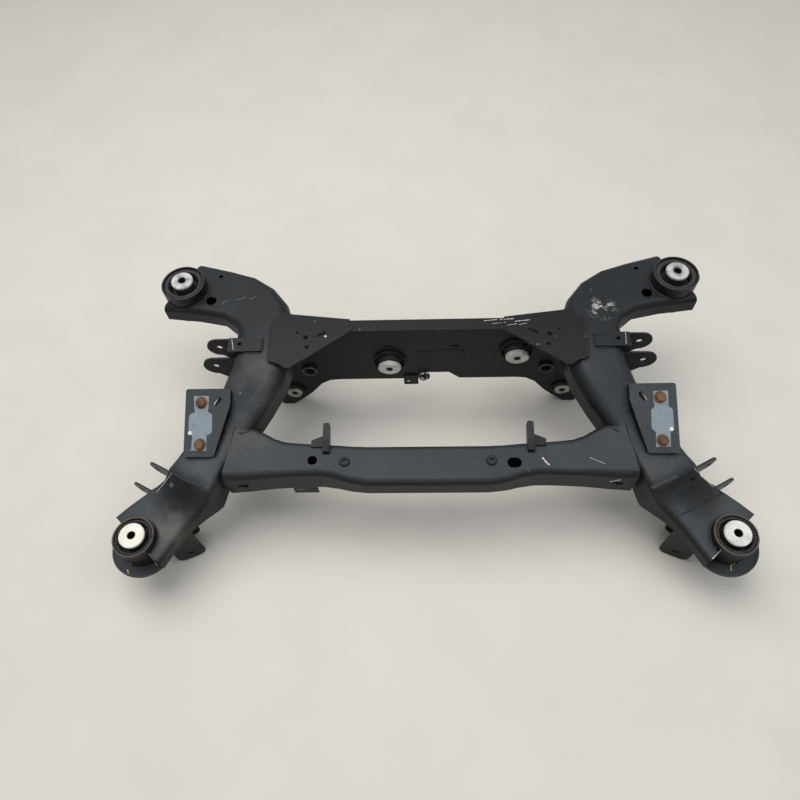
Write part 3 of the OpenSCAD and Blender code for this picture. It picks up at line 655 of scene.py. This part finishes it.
# Welds round the body mounts' sleeves: a radius in millimetres and the ends of the arc in degrees
SLEEVE_WELDS = {"front": (41.0, 30, 240), "rear": (46.5, 100, 320)}


def plan_place(at):
    """Place of a mount in plan, in millimetres from the middle between the mounts."""
    return at.x / MM, (at.y - MID_Y) / MM


def add_welds(material):
    """Weld beads on both sides, along paths that are drawn for the right side."""
    plans = {name: [p for a, b in zip(corners, corners[1:]) for p in line(a, b)]
             for name, corners in WELDS.items()}
    for end, arc in SLEEVE_WELDS.items():
        plans[end + "_sleeve"] = circle(*plan_place(mounts[end + "_body_mount_right"]), *arc)
    for name, plan in plans.items():
        for side, sign in SIDES:
            for i, run in enumerate(on_part([(sign * x, y) for x, y in plan])):
                bead(f"weld_{name}_{side}_{i}", run, material)


# Pixels of the photograph that further weld seams run through
SEAMS = {
    "gusset_foot_left": ((283, 366), (278, 363), (270, 361)),
    "gusset_foot_right": ((575, 359.5), (580, 358), (586, 357.5)),
    "gusset_wing_right": ((583.8, 320), (585, 332), (586.5, 345), (588, 357)),
    "gusset_end_left": ((357, 321), (353, 326), (350, 330)),
    "beam_top_left": ((238, 433), (243, 433), (252, 430), (268, 431)),
    "beam_foot_left": ((222, 470), (222, 480), (226, 486), (234, 491)),
    "beam_top_right": ((600, 425.5), (610, 426), (620, 432)),
}


def shown(pixels):
    """Runs of points and normals of the part along a line of pixels, split where the sheet changes."""
    runs, run = [], []
    for (u0, v0), (u1, v1) in zip(pixels, pixels[1:]):
        n = max(2, int(math.hypot(u1 - u0, v1 - v0)))
        for k in range(n + 1):
            point, normal = seen(u0 + (u1 - u0) * k / n, v0 + (v1 - v0) * k / n)
            if run and (point is None or (point - run[-1][0]).length > JUMP):
                runs.append(run)
                run = []
            if point is not None and (not run or (point - run[-1][0]).length > LEAST_STEP):
                run.append((point, normal))
    return [r for r in runs + [run] if len(r) > 1]


def add_seams(material):
    """Further weld seams, along lines of pixels."""
    for name, pixels in SEAMS.items():
        for i, run in enumerate(shown(pixels)):
            bead(f"seam_{name}_{i}", [point for point, _ in run], material, SEAM_R)


def faced(x, z):
    """Point of the rear crossmember's front face at a place across and up, in millimetres."""
    point, _, _, _ = SHEETS.ray_cast(Vector((x * MM, MID_Y, z * MM)), Vector((0, 1, 0)))
    return point


# Half span, step and height of the bend in millimetres
BEND_HALF, BEND_STEP, BEND_Z = 150, 6, 262
# How far the bend's bead lies inside the edge, and how far behind the face the top is looked for
BEND_IN, BEND_BEHIND = 0.0016, 0.002
# Corners of the pressed outline, across and up in millimetres, and the steps of each leg
RECESS, RECESS_STEPS = ((-20, 205), (70, 214), (78, 206), (81, 174)), 8


def add_bend(material):
    """Rounded bend along the rear crossmember's upper front edge, between the gussets."""
    path = []
    for x in range(-BEND_HALF, BEND_HALF + 1, BEND_STEP):
        face = faced(x, BEND_Z)
        top = dropped(x * MM, face.y + BEND_BEHIND)
        path.append(Vector((face.x, face.y + BEND_IN, top.z - BEND_IN)))
    bead("rear_bend", path, material, BEND_R, rippled=False)


def add_recess(material):
    """Pressed outline on the rear crossmember's front face."""
    path = [faced(x, z) for a, b in zip(RECESS, RECESS[1:]) for x, z in line(a, b, RECESS_STEPS)]
    bead("recess_outline", [p for p in path if p is not None], material, RECESS_R, rippled=False)


# Mouldings on the bushes

RUBBERS = surface_tree([n for n in nodes if "rubber" in n])
# Arcs of the ribs round each bush in degrees, and the radii that they lie at
FRONT_RIBS, REAR_RIBS = ((-65, 60), (125, 250)), ((-80, 100), (130, 250))
LIP_R, REAR_RIB_R = 0.0327, 0.0345
RIB_COUNT, REAR_RIB_STEPS, REAR_RIB_BEAD, RIM_BEAD = 14, 40, 0.0018, 0.0014
# Outline of a front rib, as shares of its half width and heights in millimetres
RIB_OUTLINE = ((-1, -0.8), (-0.75, 1.5), (0, 2.1), (0.75, 1.5), (1, -0.8))
# Inner and outer end of a front rib: its reach from the lip and its half width
RIB_ENDS = ((-0.0024, 0.0013), (0.0030, 0.0016))
# Radii of the sleeves' rims in millimetres
RIM_R = {"front": 38.2, "rear": 43.6}


def moulded(centre, radius, degrees):
    """Point of a bush's rubber at a radius and angle round the bush."""
    t = math.radians(degrees)
    start = Vector((centre.x + radius * math.cos(t), centre.y + radius * math.sin(t), ABOVE))
    return RUBBERS.ray_cast(start, DOWN)[0]


def front_ribs(name, centre, material):
    """Short radial ribs on two arcs of a front bush."""
    bm = bmesh.new()
    for start, end in FRONT_RIBS:
        for k in range(RIB_COUNT):
            t = math.radians(start + (end - start) * k / (RIB_COUNT - 1))
            out, side = Vector((math.cos(t), math.sin(t), 0)), Vector((math.sin(t), -math.cos(t), 0))
            lip = moulded(centre, LIP_R, math.degrees(t))
            if lip is None:
                continue
            ends = [[bm.verts.new(lip + out * reach + side * a * half + Vector((0, 0, b * MM)))
                     for a, b in RIB_OUTLINE] for reach, half in RIB_ENDS]
            skin(bm, ends)
    bmesh.ops.recalc_face_normals(bm, faces=bm.faces)
    add_piece(name, bm, material)


def add_bush_mouldings(rubber, rims):
    """Ribs on the rubber of the body mounts, and the rims of their sleeves."""
    for side, _ in SIDES:
        front, rear = mounts["front_body_mount_" + side], mounts["rear_body_mount_" + side]
        front_ribs("front_bush_ribs_" + side, front, rubber)
        for i, (start, end) in enumerate(REAR_RIBS):
            path = [moulded(rear, REAR_RIB_R, start + (end - start) * k / REAR_RIB_STEPS)
                    for k in range(REAR_RIB_STEPS + 1)]
            bead(f"rear_bush_rib_{side}_{i}", [p for p in path if p is not None], rubber, REAR_RIB_BEAD,
                 rippled=False)
        for end, at in (("front", front), ("rear", rear)):
            ring = on_part(circle(*plan_place(at), RIM_R[end]))
            for i, run in enumerate(ring):
                bead(f"{end}_rim_{side}_{i}", run, rims[end], RIM_BEAD, rippled=False)


# Distance of a ring sleeve's worn rim from its outside, the bead of that rim and its steps
RING_IN, RING_BEAD, RING_STEPS = 0.0016, 0.0012, 48
# Pixel that the line clip's wire eye hangs from, its radius, its bead, its shift in radii and its steps
LINE_EYE, EYE_R, EYE_BEAD, EYE_SHIFT, EYE_STEPS = (425.8, 376), 0.0085, 0.0018, 0.6, 40


def add_ring_rims(material):
    """Worn rims on the plain ring sleeves."""
    for side, _ in SIDES:
        low, high = (Vector(c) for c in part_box("ring_sleeve_" + side))
        middle, radius = (low + high) / 2, (high.x - low.x) / 2 - RING_IN
        path = [Vector((middle.x + radius * math.cos(t), low.y, middle.z + radius * math.sin(t)))
                for t in full_turn(RING_STEPS)]
        bead("ring_rim_" + side, path, material, RING_BEAD, closed=True, rippled=False)


def add_line_eye(material):
    """Wire eye of the line clip."""
    eye, _ = seen(*LINE_EYE)
    path = [eye + RIGHT * EYE_R * (math.cos(t) - EYE_SHIFT) + UP * EYE_R * math.sin(t)
            for t in full_turn(EYE_STEPS)]
    bead("line_eye", path, material, EYE_BEAD, closed=True, rippled=False)


# Marks

# Strokes by paint: a width in millimetres and the pixels of the photograph that each one is laid on
STROKES = {
    "steel_and_glint": {
        "tongue_edge_left": (2.0, ((148.8, 553.8), (157.5, 566))),
        "tongue_edge_right": (2.0, ((712.5, 558.8), (721, 550))),
        # The cut edges are bare steel, painted brighter as a glint where they catch the light
        "cut_edge_left": (1.8, ((172, 473), (165, 482), (157, 492))),
        "cut_edge_right": (1.8, ((694, 468), (704, 478), (713, 487))),
        "bracket_edge_left": (1.6, ((231.8, 339), (233.3, 350))),
        "bracket_edge_right": (1.6, ((625.4, 332.5), (626.4, 344))),
        "clip_rim": (1.6, ((297, 489.6), (305, 489))),
        "beam_scratch": (0.9, ((590, 457.5), (605, 463.8))),
    },
    "white": {
        "beam_dab_a": (4.4, ((542.5, 457.5), (546, 462), (549.5, 465))),
        "slot_wear": (4.2, ((610, 481.6), (621, 479.6))),
        "rear_scuff_a": (1.8, ((484, 320.8), (497, 319.6))),
        "rear_scuff_b": (1.2, ((492, 323.8), (506, 322.2))),
        "rear_scuff_c": (2.2, ((500, 319.6), (514, 318.6))),
        "rear_scuff_d": (1.2, ((507, 325.4), (517, 323.6))),
        "rear_scuff_e": (2.0, ((515, 321.4), (530, 319.8))),
        "rear_scuff_f": (1.2, ((519, 324.6), (527, 323))),
    },
    "chalk": {
        "arm_dash_a": (1.2, ((222, 304), (228, 300))),
        "arm_dash_b": (1.2, ((237, 300), (246, 297))),
        "arm_dash_c": (1.2, ((250, 299), (257, 296.5))),
    },
    "smudge_and_highlight": {
        # On the ridges these strokes are painted highlight along the fold, on the right ridge also a dust
        # smear; on the left crease they are dirt
        "ridge_highlight_and_smudge": (9.0, ((652, 488), (664, 482), (678, 476))),
        "ridge_highlight_left": (2.2, ((174, 474), (185, 480), (197, 484.5), (209, 488))),
        "crease_wear_left": (1.8, ((143, 503), (152, 508), (165, 516), (176, 521), (185, 524))),
    },
    # A black line painted as the shadow in the right pocket's crease
    "black_shade": {
        "crease_shade_right": (3.5, ((677, 517), (698, 506), (715, 497), (731, 488.5))),
    },
    "yellow": {
        "tick_left": (2.6, ((127.5, 569.5), (128.5, 574))),
        "tick_right": (2.4, ((735.2, 563.9), (730.9, 565.2), (731.2, 570.4))),
    },
}
# Round dabs and painted spots: paint, pixel and radius in millimetres
DABS = {
    "seat_dot_left": ("dot", (190, 433), 4.0),
    "seat_dot_right": ("dot", (671.5, 429), 4.0),
    "gusset_dot_left": ("dot", (325.5, 336.5), 2.2),
    # Two dark spots on the right front arm are painted shade where the arm has pinholes that the solid lacks
    "arm_hole_shade_right": ("black_shade", (693, 479), 4.8),
    "arm_hole_shade_right_low": ("black_shade", (680.4, 495.3), 3.4),
    "arm_plug_left": ("smudge_and_highlight", (171.7, 485), 5.0),
}
# Holes and slots cut in the part: the pixels that see the sheet below them, which is painted black as the
# shade inside the holes
HOLES = (((305.2, 337.2), 7.0), ((306.5, 347.3), 6.5), ((296.8, 333.2), 4.0),
         ((549.5, 333.3), 7.0), ((548.8, 343.2), 6.5), ((558.5, 328.5), 4.0))
SLOTS = (((316.7, 336.3), (325.8, 331.7)), ((528.7, 328.7), (538.3, 332)),
         ((239, 485.8), (248.5, 486)), ((611.5, 484.3), (622, 482.8)))
# Outlines of the prints on the bar seats
PADS = {
    "left": ((194, 396), (209, 396), (208.6, 407), (207.8, 411.6), (209, 413), (211, 413.3), (212.2, 415.5),
             (212, 431), (210.5, 434), (206.6, 435), (206.2, 451), (191, 450.5), (192.2, 436), (190.4, 434),
             (188.6, 431), (188.8, 418), (190.3, 414), (194, 412.8), (195, 411.6), (194.3, 407)),
    "right": ((653, 391), (668, 390.5), (668.6, 402), (668.3, 406), (670, 407.5), (672, 408), (673, 410.5),
              (674, 427), (672.5, 429.6), (670.4, 431), (671, 446.5), (656, 447), (655.8, 432), (653.4, 430),
              (651.7, 428), (651, 411), (652.3, 408.3), (654.3, 407.3), (654.5, 405.5), (653.3, 401)),
}
# Pixel on each seat's sloping top, whose plane its print lies in
PAD_BASE = {"left": (200, 424), "right": (662, 419)}
# How far a film stands over its sheet and reaches into it, and the width of the painted shade in the slots
FILM, SUNK, SLOT_W = 0.0004, 0.0003, 0.008
# Unevenness of a stroke's width and of a dab's edge, the taper of a stroke and the steps of a dab
STROKE_UNEVEN, DAB_UNEVEN, STROKE_TAPER, DAB_STEPS = 0.3, 0.08, 0.8, 20


def stroke(name, run, width, material):
    """A thin ribbon on the part along points with normals."""
    bm = bmesh.new()
    rings = []
    for i, (point, normal) in enumerate(run):
        along = run[min(i + 1, len(run) - 1)][0] - run[max(i - 1, 0)][0]
        uneven = 1 - STROKE_UNEVEN + STROKE_UNEVEN * math.sin(i * 1.7)
        across = normal.cross(along).normalized() * width * uneven / 2
        top, lift = across * STROKE_TAPER, normal * FILM
        rings.append([bm.verts.new(p) for p in (point - across - lift, point + across - lift,
                                                point + top + lift, point - top + lift)])
    skin(bm, rings)
    bmesh.ops.recalc_face_normals(bm, faces=bm.faces)
    add_piece(name, bm, material)


def patch(name, outline, normal, material):
    """A thin film with a given outline on a flat face."""
    bm = bmesh.new()
    low = [bm.verts.new(p - normal * SUNK) for p in outline]
    high = [bm.verts.new(p + normal * FILM) for p in outline]
    skin(bm, [low, high])
    bmesh.ops.recalc_face_normals(bm, faces=bm.faces)
    add_piece(name, bm, material)


def dab(name, pixel, radius, material):
    """A round dab with an uneven edge, on the face that a pixel shows."""
    centre, normal = seen(*pixel)
    first = normal.orthogonal().normalized()
    second = normal.cross(first)
    outline = []
    for k, t in enumerate(full_turn(DAB_STEPS)):
        uneven = radius * MM * (1 + DAB_UNEVEN * math.sin(3 * k))
        outline.append(centre + normal * FILM + (first * math.cos(t) + second * math.sin(t)) * uneven)
    patch(name, outline, normal, material)


def add_marks():
    """Paint marks, prints, scuffs, painted highlights and black painted shade, each laid on the sheet that
    its pixels show.
    """
    paints = {
        "steel_and_glint": metal_material("steel_edge_and_glint", rgb(196, 196, 192), rgb(140, 136, 130), 0.5, 0.3, 0.3),
        "white": paint_material("white_scuff", rgb(214, 214, 208), 0.55),
        "chalk": paint_material("chalk_mark", rgb(150, 152, 152), 0.5),
        # Paint for dust smears and for painted highlights on the ridges
        "smudge_and_highlight": paint_material("dust_smudge_and_highlight", rgb(72, 75, 78), 0.5, rgb(50, 52, 55)),
        "yellow": paint_material("yellow_tick", rgb(214, 196, 66), 0.65),
        # Black coat for painted shade in holes, slots, pinholes and a crease
        "black_shade": coat_material("hole_painted_shade", rgb(5, 5, 6), dust_and_sheen=0.0),
        "dot": paint_material("white_dot", rgb(226, 222, 206), 0.75),
        "pad": paint_material("pad_print", rgb(128, 140, 150), 0.62, rgb(96, 104, 112)),
    }
    for paint, strokes in STROKES.items():
        for name, (width, pixels) in strokes.items():
            for i, run in enumerate(shown(pixels)):
                stroke(f"mark_{name}_{i}", run, width * MM, paints[paint])
    for side, outline in PADS.items():
        base, normal = seen(*PAD_BASE[side])
        rays = [pixel_ray(u, v) for u, v in outline]
        points = [CAMERA_AT + ray * ((base - CAMERA_AT).dot(normal) / ray.dot(normal)) for ray in rays]
        patch("pad_print_" + side, points, normal, paints["pad"])
    for name, (paint, pixel, radius) in DABS.items():
        dab("mark_" + name, pixel, radius, paints[paint])
    # Black painted shade on the sheet seen through each hole and slot
    for i, (pixel, radius) in enumerate(HOLES):
        dab(f"hole_painted_shade_{i}", pixel, radius, paints["black_shade"])
    for i, ends in enumerate(SLOTS):
        for k, run in enumerate(shown(ends)):
            stroke(f"slot_painted_shade_{i}_{k}", run, SLOT_W, paints["black_shade"])


add_camera()
add_light()
add_stage()
looks = make_looks()
finish_nodes(looks)
bead_coat = coat_material("weld_coat", rgb(26, 27, 29), dust_and_sheen=0.2, rust=0.35)
add_welds(bead_coat)
add_seams(bead_coat)
add_recess(looks["coat"])
add_bend(looks["beam"])
add_bush_mouldings(rubber_material("rib_rubber", rgb(50, 49, 48), rgb(84, 80, 75)),
                   {"front": coat_material("front_rim_coat", rgb(86, 75, 66), dust_and_sheen=0.3, rust=0.6),
                    "rear": coat_material("rear_rim_coat", rgb(52, 49, 46), dust_and_sheen=0.3, rust=0.15)})
rim_metal = metal_material("worn_rim", rgb(104, 102, 98), rgb(58, 54, 50), 0.7, 0.5, 0.2)
add_ring_rims(rim_metal)
add_line_eye(rim_metal)
add_marks()
